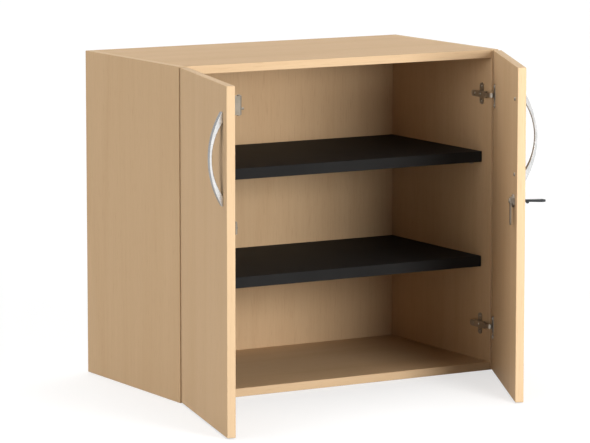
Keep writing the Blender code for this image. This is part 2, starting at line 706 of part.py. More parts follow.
def build_key(metal, plastic, key_axis):
    """The key in the lock: a blade, and over its tongue a bow with a knuckle and a ring hole."""
    place = leaf("right")
    shank = bmesh.new()
    add_rod(shank, (0, LOCK_FRONT + FIT, 0), (0, SHANK_END, 0), SHANK_RADIUS, place=place)
    blade = solid("key_blade", shank, metal, key_axis)
    flat = bmesh.new()
    half = (BLADE_WIDTH / 2, BLADE_THICKNESS / 2)
    add_box(
        flat,
        (-half[0], LOCK_FRONT - BLADE_LENGTH, -half[1]),
        (half[0], LOCK_FRONT + FIT + OVERCUT, half[1]),
        place,
    )
    combine(blade, flat, "UNION")
    tongue = bmesh.new()
    half = (TONGUE_WIDTH / 2, TONGUE_THICKNESS / 2)
    tongue_end = SHANK_END + TONGUE_LENGTH
    add_box(tongue, (-half[0], SHANK_END - OVERCUT, -half[1]), (half[0], tongue_end, half[1]), place)
    combine(blade, tongue, "UNION")
    bow_start = SHANK_END + FIT
    half_neck = BOW_NECK_WIDTH / 2
    half_bow = BOW_WIDTH / 2
    outline = [(half_neck, bow_start)]
    outline += arc((0, bow_start + BOW_LENGTH - half_bow), half_bow, 0, math.pi, 12)
    outline += [(-half_neck, bow_start)]
    grip = bmesh.new()
    add_prism(grip, outline, BOW_THICKNESS, axes(place, (0, 0, -BOW_THICKNESS / 2), ALONG, OUT, UP))
    bow_piece = solid("key_bow", grip, plastic, key_axis, BOW_ROUND, math.radians(60))
    knuckle = bmesh.new()
    knuckle_line = bow_start + KNUCKLE_FROM_NECK
    start, end = ((sign * half_neck, knuckle_line, -KNUCKLE_DROP) for sign in SIDES.values())
    add_rod(knuckle, start, end, KNUCKLE_RADIUS, 24, place)
    combine(bow_piece, knuckle, "UNION")
    cuts = bmesh.new()
    add_box(
        cuts,
        (-half[0] - FIT, bow_start - OVERCUT, -half[1] - FIT),
        (half[0] + FIT, tongue_end + FIT, half[1] + FIT),
        place,
    )
    ring_line = bow_start + BOW_LENGTH - RING_HOLE_FROM_END
    start, end = ((0, ring_line, sign * (BOW_THICKNESS / 2 + OVERCUT)) for sign in SIDES.values())
    add_rod(cuts, start, end, RING_HOLE_RADIUS, 24, place)
    combine(bow_piece, cuts, "DIFFERENCE")


def build_left_door_fittings(metal, door_axis, bolt_axis):
    """The cam's strike, and the sliding bolt in its guide, on the inside of the left door."""
    place = leaf("left")
    keeper = bmesh.new()
    edge = FREE_EDGE - STRIKE_FROM_FREE_EDGE
    seat = FACE_IN - FIT
    half_height = STRIKE_HEIGHT / 2
    add_box(
        keeper,
        (edge - STRIKE_LENGTH, seat - STRIKE_THICKNESS, LOCK_LEVEL - half_height),
        (edge, seat, LOCK_LEVEL + half_height),
        place,
    )
    solid("lock_strike", keeper, metal, door_axis, STRIKE_ROUND)

    half_base = GUIDE_BASE_WIDTH / 2
    base_top = FIT + GUIDE_BASE_THICKNESS
    outline = [(half_base, FIT), (half_base, base_top), (GUIDE_BARREL_RADIUS, base_top)]
    outline += arc((0, BOLT_OFF_DOOR), GUIDE_BARREL_RADIUS, 0, math.pi, 12)
    outline += [(-GUIDE_BARREL_RADIUS, base_top), (-half_base, base_top), (-half_base, FIT)]
    tube = bmesh.new()
    inward = axes(place, (BOLT_LINE, FACE_IN, GUIDE_BOTTOM), ALONG, -OUT, UP)
    add_prism(tube, outline, GUIDE_LENGTH, inward)
    guide = solid("bolt_guide", tube, metal, door_axis)
    bore = bmesh.new()
    ends = ((0, BOLT_OFF_DOOR, -OVERCUT), (0, BOLT_OFF_DOOR, GUIDE_LENGTH + OVERCUT))
    add_rod(bore, *ends, BOLT_RADIUS + FIT, place=inward)
    combine(guide, bore, "DIFFERENCE")
    slot = bmesh.new()
    half_slot = KNOB_RADIUS + FIT
    slot_low = KNOB_LEVEL - half_slot - GUIDE_BOTTOM
    slot_high = slot_low + 2 * half_slot + BOLT_TRAVEL
    slot_out = BOLT_OFF_DOOR + KNOB_REACH
    add_box(slot, (-half_slot, BOLT_OFF_DOOR, slot_low), (half_slot, slot_out, slot_high), inward)
    combine(guide, slot, "DIFFERENCE")

    rod = bmesh.new()
    add_rod(rod, (0, 0, BOLT_TOP - BOLT_LENGTH), (0, 0, BOLT_TOP), BOLT_RADIUS, place=place)
    bolt = solid("door_bolt", rod, metal, bolt_axis)
    knob = bmesh.new()
    add_rod(knob, (0, 0, KNOB_LEVEL), (0, -KNOB_REACH, KNOB_LEVEL), KNOB_RADIUS, place=place)
    combine(bolt, knob, "UNION")


def main():
    """Builds every piece, the moving ones under an empty on their joint's axis."""
    clear_scene()
    maple = finish("maple_melamine", (0.60, 0.41, 0.23), 0.45)
    black = finish("black_melamine", (0.016, 0.015, 0.014), 0.40)
    beech = finish("beech_dowel", (0.55, 0.36, 0.20), 0.70)
    nickel = finish("nickel_plated_steel", (0.60, 0.60, 0.58), 0.30, 1.0)
    silver = finish("satin_silver", (0.75, 0.76, 0.76), 0.28, 1.0)
    dark_plastic = finish("dark_grey_plastic", (0.05, 0.055, 0.06), 0.45)

    for side in SIDES:
        build_side_panel(side, maple)
    for level in DOWEL_LEVELS:
        build_end_panel(level, maple)
    build_back_panel(maple)
    build_dowels(beech)
    for shelf in SHELF_BOTTOMS:
        build_shelf(shelf, black, nickel)

    turns = {"left": -LEFT_OPEN, "right": RIGHT_OPEN}
    door_axes = {}
    for side, sign in SIDES.items():
        door_axis = axis_empty(f"{side}_door_axis", (sign * PIVOT_X, PIVOT_Y, 0), turn=turns[side])
        door_axes[side] = door_axis
        build_door(side, maple, door_axis)
        build_handle(side, silver, nickel, door_axis)
        for level in HINGE_LEVELS:
            build_hinge_plate(side, level, nickel)
            build_hinge_arm(side, level, nickel)
            build_hinge_cup(side, level, nickel, door_axis)

    lock_place = leaf("right") @ Vector((LOCK_LINE, 0, LOCK_LEVEL))
    lock_axis = axis_empty("lock_axis", lock_place, door_axes["right"])
    key_axis = axis_empty("key_axis", (0, 0, 0), lock_axis)
    build_lock(nickel, door_axes["right"], lock_axis)
    build_key(nickel, dark_plastic, key_axis)
    bolt_place = leaf("left") @ Vector((BOLT_LINE, FACE_IN - BOLT_OFF_DOOR, 0))
    bolt_axis = axis_empty("bolt_axis", bolt_place, door_axes["left"])
    build_left_door_fittings(nickel, door_axes["left"], bolt_axis)


if __name__ == "__main__":
    main()
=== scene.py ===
"""Looks of the office cupboard: maple-coloured boards, black shelves, bow handles and small fittings."""

import json
import logging
import math
from dataclasses import dataclass, field
from enum import Enum
from typing import Iterable

import bmesh
import bpy
from mathutils import Matrix, Vector


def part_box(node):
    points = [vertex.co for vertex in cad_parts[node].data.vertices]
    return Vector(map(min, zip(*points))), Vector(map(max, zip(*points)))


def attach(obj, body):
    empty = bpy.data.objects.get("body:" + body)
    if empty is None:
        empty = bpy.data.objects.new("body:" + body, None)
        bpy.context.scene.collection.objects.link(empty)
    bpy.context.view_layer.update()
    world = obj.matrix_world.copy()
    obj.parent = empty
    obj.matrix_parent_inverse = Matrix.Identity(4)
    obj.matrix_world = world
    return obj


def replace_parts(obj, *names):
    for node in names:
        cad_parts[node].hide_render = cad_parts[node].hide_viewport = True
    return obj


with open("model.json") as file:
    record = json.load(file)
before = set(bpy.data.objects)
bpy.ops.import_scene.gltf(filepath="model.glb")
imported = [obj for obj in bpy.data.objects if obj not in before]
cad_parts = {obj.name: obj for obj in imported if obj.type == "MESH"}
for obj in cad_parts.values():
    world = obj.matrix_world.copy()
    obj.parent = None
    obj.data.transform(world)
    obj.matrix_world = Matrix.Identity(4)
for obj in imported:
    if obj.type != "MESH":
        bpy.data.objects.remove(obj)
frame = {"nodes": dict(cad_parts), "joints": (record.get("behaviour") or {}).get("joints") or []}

LOG = logging.getLogger("cupboard")

Pair = tuple[float, float]
Triple = tuple[float, float, float]
Socket = bpy.types.NodeSocket

WHITE: Triple = (1.0, 1.0, 1.0)

# Where most of a noise pattern's values lie
NOISE_LOW = 0.3
NOISE_HIGH = 0.7

# The turn of an edge past which the shading of added pieces breaks
SHARP_ANGLE = math.radians(32)

# The share of a hinge cup's wing that counts as its tip
WING_TIP = 0.05


class Side(Enum):
    """The two sides of the cupboard, seen from the front."""

    LEFT = "left"
    RIGHT = "right"

    @property
    def sign(self) -> int:
        """The side's sign along X."""
        return -1 if self is Side.LEFT else 1


class Level(Enum):
    """The lower or the upper one of two like pieces."""

    LOWER = "lower"
    UPPER = "upper"


class LevelBoard(Enum):
    """The two level boards of the carcass."""

    TOP = "top"
    BOTTOM = "bottom"


class Row(Enum):
    """The front or the rear row of dowels and shelf pins."""

    FRONT = "front"
    REAR = "rear"


class Grain(Enum):
    """The axis along which a board's printed grain runs."""

    UPRIGHT = 2
    LEVEL = 0


class Facing(Enum):
    """The direction that a board's faces point along."""

    SIDEWAYS = (1.0, 0.0, 0.0)
    FORWARDS = (0.0, 1.0, 0.0)
    UPWARDS = (0.0, 0.0, 1.0)


class Turn(Enum):
    """How a surface is turned against a direction, as a cosine."""

    TOWARDS = 1.0
    ACROSS = 0.0
    AWAY = -1.0


@dataclass(frozen=True)
class Noise:
    """A noise pattern: repeats per metre along each axis, finer layers, their strength and the bend."""

    scale: Triple
    detail: float
    rough: float = 0.5
    warp: float = 0.0

    @classmethod
    def even(cls, repeats: float, detail: float, rough: float = 0.5) -> "Noise":
        """A pattern that is the same along all axes."""
        return cls((repeats, repeats, repeats), detail, rough)


@dataclass(frozen=True)
class Streak:
    """A noise pattern drawn out along a board's grain, in repeats per metre across and along it."""

    across: float
    along: float
    detail: float
    rough: float = 0.5
    warp: float = 0.0

    def run(self, grain: Grain) -> Noise:
        """Lays the streak along a grain.

        Args:
            grain: The board's grain.

        Returns:
            The noise pattern.
        """
        scale = [self.across, self.across, self.across]
        scale[grain.value] = self.along
        return Noise(tuple(scale), self.detail, self.rough, self.warp)


@dataclass(frozen=True)
class Relief:
    """A raised pattern's height in metres, and how much of it shows, from 0 to 1."""

    depth: float
    strength: float


class NodeSheet:
    """A material's node tree, with short calls to add and join nodes."""

    def __init__(self, name: str) -> None:
        """Starts a material with one Principled shader.

        Args:
            name: The material's name.
        """
        self.material = bpy.data.materials.new(name)
        self.material.use_nodes = True
        self.tree = self.material.node_tree
        self.shader = self.tree.nodes["Principled BSDF"]

    def set(self, **values: float) -> None:
        """Sets constant values on the shader's own sockets.

        Args:
            values: Socket names, with _ for a space, and their values.
        """
        for name, value in values.items():
            self.shader.inputs[name.replace("_", " ")].default_value = value

    def join(self, start: Socket, end: Socket) -> None:
        """Links an output to an input."""
        self.tree.links.new(start, end)

    def noise(self, pattern: Noise, start: Triple = (0.0, 0.0, 0.0)) -> Socket:
        """Lays a noise pattern on Object coordinates.

        Args:
            pattern: The pattern.
            start: Where it starts, in its own units.

        Returns:
            The grey output.
        """
        source = self.tree.nodes.new("ShaderNodeTexCoord")
        mapping = self.tree.nodes.new("ShaderNodeMapping")
        mapping.inputs["Scale"].default_value = pattern.scale
        mapping.inputs["Location"].default_value = start
        self.join(source.outputs["Object"], mapping.inputs["Vector"])
        node = self.tree.nodes.new("ShaderNodeTexNoise")
        node.inputs["Scale"].default_value = 1.0
        node.inputs["Detail"].default_value = pattern.detail
        node.inputs["Roughness"].default_value = pattern.rough
        node.inputs["Distortion"].default_value = pattern.warp
        self.join(mapping.outputs["Vector"], node.inputs["Vector"])
        return node.outputs["Fac"]

    def ramp(self, value: Socket, stops: Iterable[tuple[float, Triple]]) -> Socket:
        """Turns a grey value into a colour.

        Args:
            value: The grey value.
            stops: Positions from 0 to 1 and their colours.

        Returns:
            The colour output.
        """
        node = self.tree.nodes.new("ShaderNodeValToRGB")
        bar = node.color_ramp.elements
        marks = list(stops)
        while len(bar) < len(marks):
            bar.new(0.5)
        for mark, (position, colour) in zip(bar, marks):
            mark.position = position
            mark.color = (*colour, 1.0)
        self.join(value, node.inputs["Fac"])
        return node.outputs["Color"]

    def blend(self, value: Socket, low: Triple, high: Triple) -> Socket:
        """Turns a noise value into a colour between two."""
        return self.ramp(value, [(NOISE_LOW, low), (NOISE_HIGH, high)])

    def tint(self, base: Socket, over: Socket, amount: float) -> Socket:
        """Multiplies one colour pattern into another.

        Args:
            base: The colour underneath.
            over: The pattern that darkens it.
            amount: How much of the pattern shows, from 0 to 1.

        Returns:
            The colour output.
        """
        node = self.tree.nodes.new("ShaderNodeMix")
        node.data_type = "RGBA"
        node.blend_type = "MULTIPLY"
        node.inputs["Factor"].default_value = amount
        self.join(base, node.inputs["A"])
        self.join(over, node.inputs["B"])
        return node.outputs["Result"]

    def turned(self, axis: Triple, turn: Turn, reach: float) -> Socket:
        """Marks where the surface is turned a given way.

        Args:
            axis: A direction of length one in the object's own space.
            turn: How the marked part is turned against it.
            reach: How far the cosine may be from that.

        Returns:
            The grey output, one on the marked part and else zero.
        """
        source = self.tree.nodes.new("ShaderNodeTexCoord")
        cosine = self.tree.nodes.new("ShaderNodeVectorMath")
        cosine.operation = "DOT_PRODUCT"
        cosine.inputs[1].default_value = axis
        self.join(source.outputs["Normal"], cosine.inputs[0])
        mark = self.tree.nodes.new("ShaderNodeMath")
        mark.operation = "COMPARE"
        mark.inputs[1].default_value = turn.value
        mark.inputs[2].default_value = reach
        self.join(cosine.outputs["Value"], mark.inputs[0])
        return mark.outputs["Value"]

    def choose(self, mark: Socket, off: Socket, on: Socket) -> Socket:
        """Shows one colour off a marked part and another on it.

        Args:
            mark: The grey mark.
            off: The colour where the mark is zero.
            on: The colour where the mark is one.

        Returns:
            The colour output.
        """
        node = self.tree.nodes.new("ShaderNodeMix")
        node.data_type = "RGBA"
        self.join(mark, node.inputs["Factor"])
        self.join(off, node.inputs["A"])
        self.join(on, node.inputs["B"])
        return node.outputs["Result"]

    def colour(self, source: Socket) -> None:
        """Gives the shader its colour pattern."""
        self.join(source, self.shader.inputs["Base Color"])

    def roughness(self, value: Socket, limits: Pair) -> None:
        """Lets the shader's roughness follow a noise value.

        Args:
            value: The noise value.
            limits: The roughness at the low and at the high end of the noise.
        """
        node = self.tree.nodes.new("ShaderNodeMapRange")
        node.inputs["From Min"].default_value = NOISE_LOW
        node.inputs["From Max"].default_value = NOISE_HIGH
        node.inputs["To Min"].default_value, node.inputs["To Max"].default_value = limits
        self.join(value, node.inputs["Value"])
        self.join(node.outputs["Result"], self.shader.inputs["Roughness"])

    def bump(self, height: Socket, relief: Relief) -> None:
        """Raises and lowers the surface's shading.

        Args:
            height: The grey pattern.
            relief: How high it is and how much of it shows.
        """
        node = self.tree.nodes.new("ShaderNodeBump")
        node.inputs["Strength"].default_value = relief.strength
        node.inputs["Distance"].default_value = relief.depth
        self.join(height, node.inputs["Height"])
        self.join(node.outputs["Normal"], self.shader.inputs["Normal"])


@dataclass(frozen=True)
class WoodPrint:
    """Melamine with a printed wood grain and pressed pores, and an edge band round the board's edges,
    painted paler than the faces as painted light on the edges.
    """

    name: str
    grain: Grain
    across: Triple
    start: float
    start_skew: Triple = (1.0, 0.7, 1.3)
    flame: Streak = Streak(across=16.0, along=1.1, detail=5.0, rough=0.55, warp=0.6)
    flame_stops: Triple = (0.28, 0.50, 0.72)
    face: tuple[Triple, Triple, Triple] = (
        (0.546, 0.369, 0.211), (0.567, 0.389, 0.227), (0.583, 0.403, 0.238),
    )
    # The edge band is real; its paler tone is painted light that brightens the board's edges
    band_with_painted_light: tuple[Triple, Triple, Triple] = (
        (0.596, 0.421, 0.253), (0.610, 0.436, 0.266), (0.620, 0.448, 0.277),
    )
    edge_turn: float = 0.7
    fibre: Streak = Streak(across=210.0, along=5.0, detail=4.0, rough=0.6)
    fibre_stops: Pair = (0.30, 0.62)
    fibre_tone: Triple = (0.86, 0.83, 0.80)
    fibre_amount: float = 0.28
    pores: Streak = Streak(across=620.0, along=26.0, detail=2.0)
    pore_stops: Pair = (0.30, 0.40)
    pore_tone: Triple = (0.72, 0.66, 0.60)
    pore_amount: float = 0.32
    roughness: Pair = (0.50, 0.62)
    relief: Relief = Relief(depth=0.00008, strength=0.25)
    shine: float = 0.05

    def build(self) -> bpy.types.Material:
        """Makes the material.

        Returns:
            The finished material.
        """
        sheet = NodeSheet(self.name)
        start = tuple(self.start * skew for skew in self.start_skew)
        flame = sheet.noise(self.flame.run(self.grain), start)
        fibre = sheet.noise(self.fibre.run(self.grain), start)
        pores = sheet.noise(self.pores.run(self.grain), start)
        board = sheet.ramp(flame, zip(self.flame_stops, self.face))
        # The edges take the paler band tone: painted light on the edge band
        edging_with_painted_light = sheet.ramp(flame, zip(self.flame_stops, self.band_with_painted_light))
        figure = sheet.choose(sheet.turned(self.across, Turn.ACROSS, self.edge_turn), board, edging_with_painted_light)
        lines = sheet.ramp(fibre, zip(self.fibre_stops, (self.fibre_tone, WHITE)))
        dashes = sheet.ramp(pores, zip(self.pore_stops, (self.pore_tone, WHITE)))
        sheet.colour(sheet.tint(sheet.tint(figure, lines, self.fibre_amount), dashes, self.pore_amount))
        sheet.roughness(fibre, self.roughness)
        sheet.bump(pores, self.relief)
        sheet.set(Specular_IOR_Level=self.shine)
        return sheet.material


@dataclass(frozen=True)
class PlainMelamine:
    """Dark melamine with the fine pearl of a pressing plate."""

    name: str
    cloud: Noise = Noise.even(repeats=9.0, detail=4.0)
    dark: Triple = (0.0155, 0.0153, 0.0152)
    light: Triple = (0.0198, 0.0196, 0.0194)
    pearl: Noise = Noise.even(repeats=900.0, detail=2.0)
    roughness: Pair = (0.56, 0.68)
    relief: Relief = Relief(depth=0.00006, strength=0.30)
    shine: float = 0.05

    def build(self) -> bpy.types.Material:
        """Makes the material.

        Returns:
            The finished material.
        """
        sheet = NodeSheet(self.name)
        pearl = sheet.noise(self.pearl)
        sheet.colour(sheet.blend(sheet.noise(self.cloud), self.dark, self.light))
        sheet.roughness(pearl, self.roughness)
        sheet.bump(pearl, self.relief)
        sheet.set(Specular_IOR_Level=self.shine)
        return sheet.material


@dataclass(frozen=True)
class Plating:
    """Plated steel with faint stains and a slightly uneven sheen."""

    name: str
    dull: Triple
    bright: Triple
    stain: Noise = Noise.even(repeats=55.0, detail=4.0)
    sheen: Noise = Noise.even(repeats=300.0, detail=3.0, rough=0.65)
    roughness: Pair = (0.38, 0.52)
    relief: Relief = Relief(depth=0.00002, strength=0.20)

    def build(self) -> bpy.types.Material:
        """Makes the material.

        Returns:
            The finished material.
        """
        sheet = NodeSheet(self.name)
        sheen = sheet.noise(self.sheen)
        sheet.colour(sheet.blend(sheet.noise(self.stain), self.dull, self.bright))
        sheet.roughness(sheen, self.roughness)
        sheet.bump(sheen, self.relief)
        sheet.set(Metallic=1.0)
        return sheet.material


@dataclass(frozen=True)
class BowMetal:
    """Satin metal of a bow handle, brushed along it: bright flanks, a crest painted greyer as a painted
    reflection of a darker surround, and a hollow painted dull as painted shade.
    """

    name: str
    inward: Triple
    stain: Noise = Noise.even(repeats=55.0, detail=4.0)
    flank: tuple[Triple, Triple] = ((0.54, 0.54, 0.535), (0.64, 0.64, 0.635))
    # Painted reflection: the crest, turned away from the door, is painted greyer than the flank
    crest_painted_shade: tuple[Triple, Triple] = ((0.200, 0.203, 0.205), (0.250, 0.253, 0.255))
    # Painted shade: the hollow, turned to the door, is painted dark as if it reflected the shaded door
    hollow_painted_shade: tuple[Triple, Triple] = ((0.09, 0.09, 0.09), (0.13, 0.13, 0.13))
    edge_turn: float = 0.4
    brush: Noise = Noise(scale=(1500.0, 1500.0, 60.0), detail=3.0, rough=0.65)
    roughness: Pair = (0.22, 0.34)
    relief: Relief = Relief(depth=0.00002, strength=0.08)

    def build(self) -> bpy.types.Material:
        """Makes the material.

        Returns:
            The finished material.
        """
        sheet = NodeSheet(self.name)
        stain = sheet.noise(self.stain)
        brush = sheet.noise(self.brush)
        flank = sheet.blend(stain, *self.flank)
        crest_painted_shade = sheet.blend(stain, *self.crest_painted_shade)
        hollow_painted_shade = sheet.blend(stain, *self.hollow_painted_shade)
        # Masks for the painted shade: faces turned away from the door, and faces turned to it
        crest_shade_mask = sheet.turned(self.inward, Turn.AWAY, self.edge_turn)
        hollow_shade_mask = sheet.turned(self.inward, Turn.TOWARDS, self.edge_turn)
        # The flank's own tone, with painted reflection on the crest and painted shade in the hollow
        sheet.colour(sheet.choose(hollow_shade_mask, sheet.choose(crest_shade_mask, flank, crest_painted_shade), hollow_painted_shade))
        sheet.roughness(brush, self.roughness)
        sheet.bump(brush, self.relief)
        sheet.set(Metallic=1.0)
        return sheet.material


@dataclass(frozen=True)
class MouldedPlastic:
    """Plastic with an even spark-eroded grain."""

    name: str
    cloud: Noise = Noise.even(repeats=70.0, detail=3.0)
    dark: Triple = (0.016, 0.018, 0.0195)
    light: Triple = (0.027, 0.030, 0.032)
    grain: Noise = Noise.even(repeats=2200.0, detail=2.0)
    roughness: Pair = (0.38, 0.55)
    relief: Relief = Relief(depth=0.00008, strength=0.35)
    shine: float = 0.3

    def build(self) -> bpy.types.Material:
        """Makes the material.

        Returns:
            The finished material.
        """
        sheet = NodeSheet(self.name)
        grain = sheet.noise(self.grain)
        sheet.colour(sheet.blend(sheet.noise(self.cloud), self.dark, self.light))
        sheet.roughness(grain, self.roughness)
        sheet.bump(grain, self.relief)
        sheet.set(Specular_IOR_Level=self.shine)
        return sheet.material


@dataclass(frozen=True)
class TurnedBeech:
    """Raw beech with short flecks along X, as on a dowel."""

    name: str
    fibre: Noise = Noise(scale=(45.0, 700.0, 700.0), detail=4.0, rough=0.6)
    deep: Triple = (0.47, 0.29, 0.155)
    pale: Triple = (0.60, 0.40, 0.235)
    fleck: Noise = Noise(scale=(260.0, 1500.0, 1500.0), detail=1.0)
    fleck_stops: Pair = (0.32, 0.42)
    fleck_tone: Triple = (0.7, 0.6, 0.5)
    fleck_amount: float = 0.6
    roughness: Pair = (0.62, 0.78)
    relief: Relief = Relief(depth=0.0001, strength=0.4)

    def build(self) -> bpy.types.Material:
        """Makes the material.

        Returns:
            The finished material.
        """
        sheet = NodeSheet(self.name)
        fibre = sheet.noise(self.fibre)
        base = sheet.blend(fibre, self.deep, self.pale)
        marks = sheet.ramp(sheet.noise(self.fleck), zip(self.fleck_stops, (self.fleck_tone, WHITE)))
        sheet.colour(sheet.tint(base, marks, self.fleck_amount))
        sheet.roughness(fibre, self.roughness)
        sheet.bump(fibre, self.relief)
        return sheet.material


def dress(nodes: Iterable[str], finish: bpy.types.Material) -> None:
    """Gives carried-over solids their finish.

    Args:
        nodes: The solids' node names.
        finish: The material that covers them.
    """
    for node in nodes:
        solid = frame["nodes"][node]
        solid.data.materials.clear()
        solid.data.materials.append(finish)
        LOG.info("dressed %s with %s", node, finish.name)


def seat(point: Vector, outward: Vector) -> Matrix:
    """A place on a surface, with Z pointing out of it.

    Args:
        point: The place's origin.
        outward: The direction out of the surface.

    Returns:
        The place's matrix.
    """
    turn = outward.to_track_quat("Z", "Y").to_matrix().to_4x4()
    return Matrix.Translation(point) @ turn


def new_piece(
    name: str, shape: bmesh.types.BMesh, finish: bpy.types.Material, body: str
) -> bpy.types.Object:
    """Turns a shape into a steel piece that rides on a body.

    Args:
        name: The piece's name.
        shape: Its shape in the frame, which is freed here.
        finish: Its material.
        body: The body that it moves with.

    Returns:
        The piece.
    """
    bmesh.ops.recalc_face_normals(shape, faces=shape.faces)
    mesh = bpy.data.meshes.new(name)
    shape.to_mesh(mesh)
    shape.free()
    mesh.shade_smooth()
    mesh.set_sharp_from_angle(angle=SHARP_ANGLE)
    mesh.materials.append(finish)
    piece = bpy.data.objects.new(name, mesh)
    bpy.context.scene.collection.objects.link(piece)
    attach(piece, body)
    LOG.info("made %s on %s", name, body)
    return piece


@dataclass(frozen=True)
class CrossHead:
    """A small screw's rounded head with a cross recess."""

    radius: float
    height: float
    turn: float = 0.4
    sides: int = 24
    rounding_steps: int = 4
    # Shares of the radius
    crown: float = 0.92
    half_bar: float = 0.13
    half_cross: float = 0.52
    # Shares of the height
    rim: float = 0.9
    rounding: float = 0.6
    sink: float = 0.55
    # The least upward part of a crown face's normal
    crown_cosine: float = 0.99

    def add(self, shape: bmesh.types.BMesh, place: Matrix) -> None:
        """Adds one head to a shape.

        Args:
            shape: The shape that takes it.
            place: Its seat, with Z out of the surface.
        """
        head = bmesh.new()
        bmesh.ops.create_cone(
            head, cap_ends=True, segments=self.sides,
            radius1=self.radius, radius2=self.radius * self.crown, depth=self.height,
            matrix=Matrix.Translation((0, 0, self.height / 2)),
        )
        rim = [edge for edge in head.edges if all(v.co.z > self.height * self.rim for v in edge.verts)]
        bmesh.ops.bevel(
            head, geom=rim, offset=self.height * self.rounding, segments=self.rounding_steps,
            profile=0.5, affect="EDGES", material=-1,
        )
        self.cut_recess(head)
        bmesh.ops.transform(head, matrix=place @ Matrix.Rotation(self.turn, 4, "Z"), verts=head.verts)
        mesh = bpy.data.meshes.new("head")
        head.to_mesh(mesh)
        head.free()
        shape.from_mesh(mesh)
        bpy.data.meshes.remove(mesh)

    def cut_recess(self, head: bmesh.types.BMesh) -> None:
        """Sinks a cross into the crown of a head.

        Args:
            head: The head, standing on its seat at the origin.
        """
        near, far = self.radius * self.half_bar, self.radius * self.half_cross
        for axis in (Vector((1, 0, 0)), Vector((0, 1, 0))):
            for distance in (-far, -near, near, far):
                crown = self.crown_of(head)
                parts = {item for face in crown for item in (face, *face.edges, *face.verts)}
                bmesh.ops.bisect_plane(head, geom=list(parts), plane_co=axis * distance, plane_no=axis)
        cross = [face for face in self.crown_of(head) if self.in_cross(face)]
        sunk = bmesh.ops.extrude_face_region(head, geom=cross)["geom"]
        floor = [item for item in sunk if isinstance(item, bmesh.types.BMVert)]
        bmesh.ops.delete(head, geom=[face for face in cross if face.is_valid], context="FACES_ONLY")
        bmesh.ops.translate(head, verts=floor, vec=(0, 0, -self.height * self.sink))

    def crown_of(self, head: bmesh.types.BMesh) -> list[bmesh.types.BMFace]:
        """The faces of a head's flat crown."""
        return [face for face in head.faces if face.normal.z > self.crown_cosine]

    def in_cross(self, face: bmesh.types.BMFace) -> bool:
        """Tells whether a crown face lies in the cross.

        Args:
            face: The crown face.

        Returns:
            True if it does.
        """
        middle = face.calc_center_median()
        near, far = sorted((abs(middle.x), abs(middle.y)))
        return near < self.radius * self.half_bar and far < self.radius * self.half_cross


@dataclass
class Leaf:
    """A door's own frame at rest: X from the hinge to the free edge, Y out to the front, Z up."""

    side: Side
    matrix: Matrix = field(init=False)
    inward: Vector = field(init=False)

    def __post_init__(self) -> None:
        """Works the frame out from the door's joint."""
        joint = next(j for j in frame["joints"] if j["name"] == f"{self.side.value}_door_swing")
        shut = math.radians(joint["range_deg"][0])
        turn = Matrix.Rotation(-shut * joint["axis"][2], 4, "Z")
        mirrored = Matrix.Diagonal((-self.side.sign, -1, 1, 1))
        self.matrix = Matrix.Translation(joint["pos_m"]) @ turn @ mirrored
        self.inward = self.matrix.to_3x3() @ Vector((0, -1, 0))

    def points(self, node: str) -> list[Vector]:
        """A node's corners in the door's frame."""
        back = self.matrix.inverted()
        return [back @ vertex.co for vertex in frame["nodes"][node].data.vertices]

    def span(self, node: str) -> tuple[Vector, Vector]:
        """A node's box in the door's frame.

        Args:
            node: The node's name.

        Returns:
            The lowest and the highest corner.
        """
        points = self.points(node)
        low, high = (Vector(pick(p[i] for p in points) for i in range(3)) for pick in (min, max))
        return low, high

    def wing_line(self, node: str, wing: float) -> float:
        """Where the middle of a cup's wing lies along the door.

        Args:
            node: The cup's node.
            wing: The wing's width.

        Returns:
            The distance from the hinge axis.
        """
        points = self.points(node)
        top = max(p.z for p in points)
        tip = [p.x for p in points if p.z > top - wing * WING_TIP]
        return sum(tip) / len(tip)


@dataclass(frozen=True)
class MachineScrew:
    """A cross-recessed screw that goes through a door from its inside, in place of a plain solid."""

    head: CrossHead
    shank: float
    tip: float = 0.25
    tip_steps: int = 2

    def stand_for(self, node: str, leaf: Leaf, finish: bpy.types.Material, body: str) -> None:
        """Makes the screw where its plain solid is.

        Args:
            node: The plain solid's node name.
            leaf: The door's frame.
            finish: The screw's material.
            body: The body that it moves with.
        """
        low, high = leaf.span(node)
        foot = Vector(((low.x + high.x) / 2, low.y + self.head.height, (low.z + high.z) / 2))
        place = seat(leaf.matrix @ foot, leaf.inward)
        depth = high.y - foot.y
        shape = bmesh.new()
        bmesh.ops.create_cone(
            shape, cap_ends=True, segments=self.head.sides, radius1=self.shank, radius2=self.shank,
            depth=depth, matrix=place @ Matrix.Translation((0, 0, -depth / 2)),
        )
        back = place.inverted()
        end = [edge for edge in shape.edges if all((back @ v.co).z < -depth / 2 for v in edge.verts)]
        bmesh.ops.bevel(
            shape, geom=end, offset=self.shank * self.tip, segments=self.tip_steps,
            profile=0.5, affect="EDGES", material=-1,
        )
        self.head.add(shape, place)
        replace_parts(new_piece(f"{node}_turned", shape, finish, body), node)


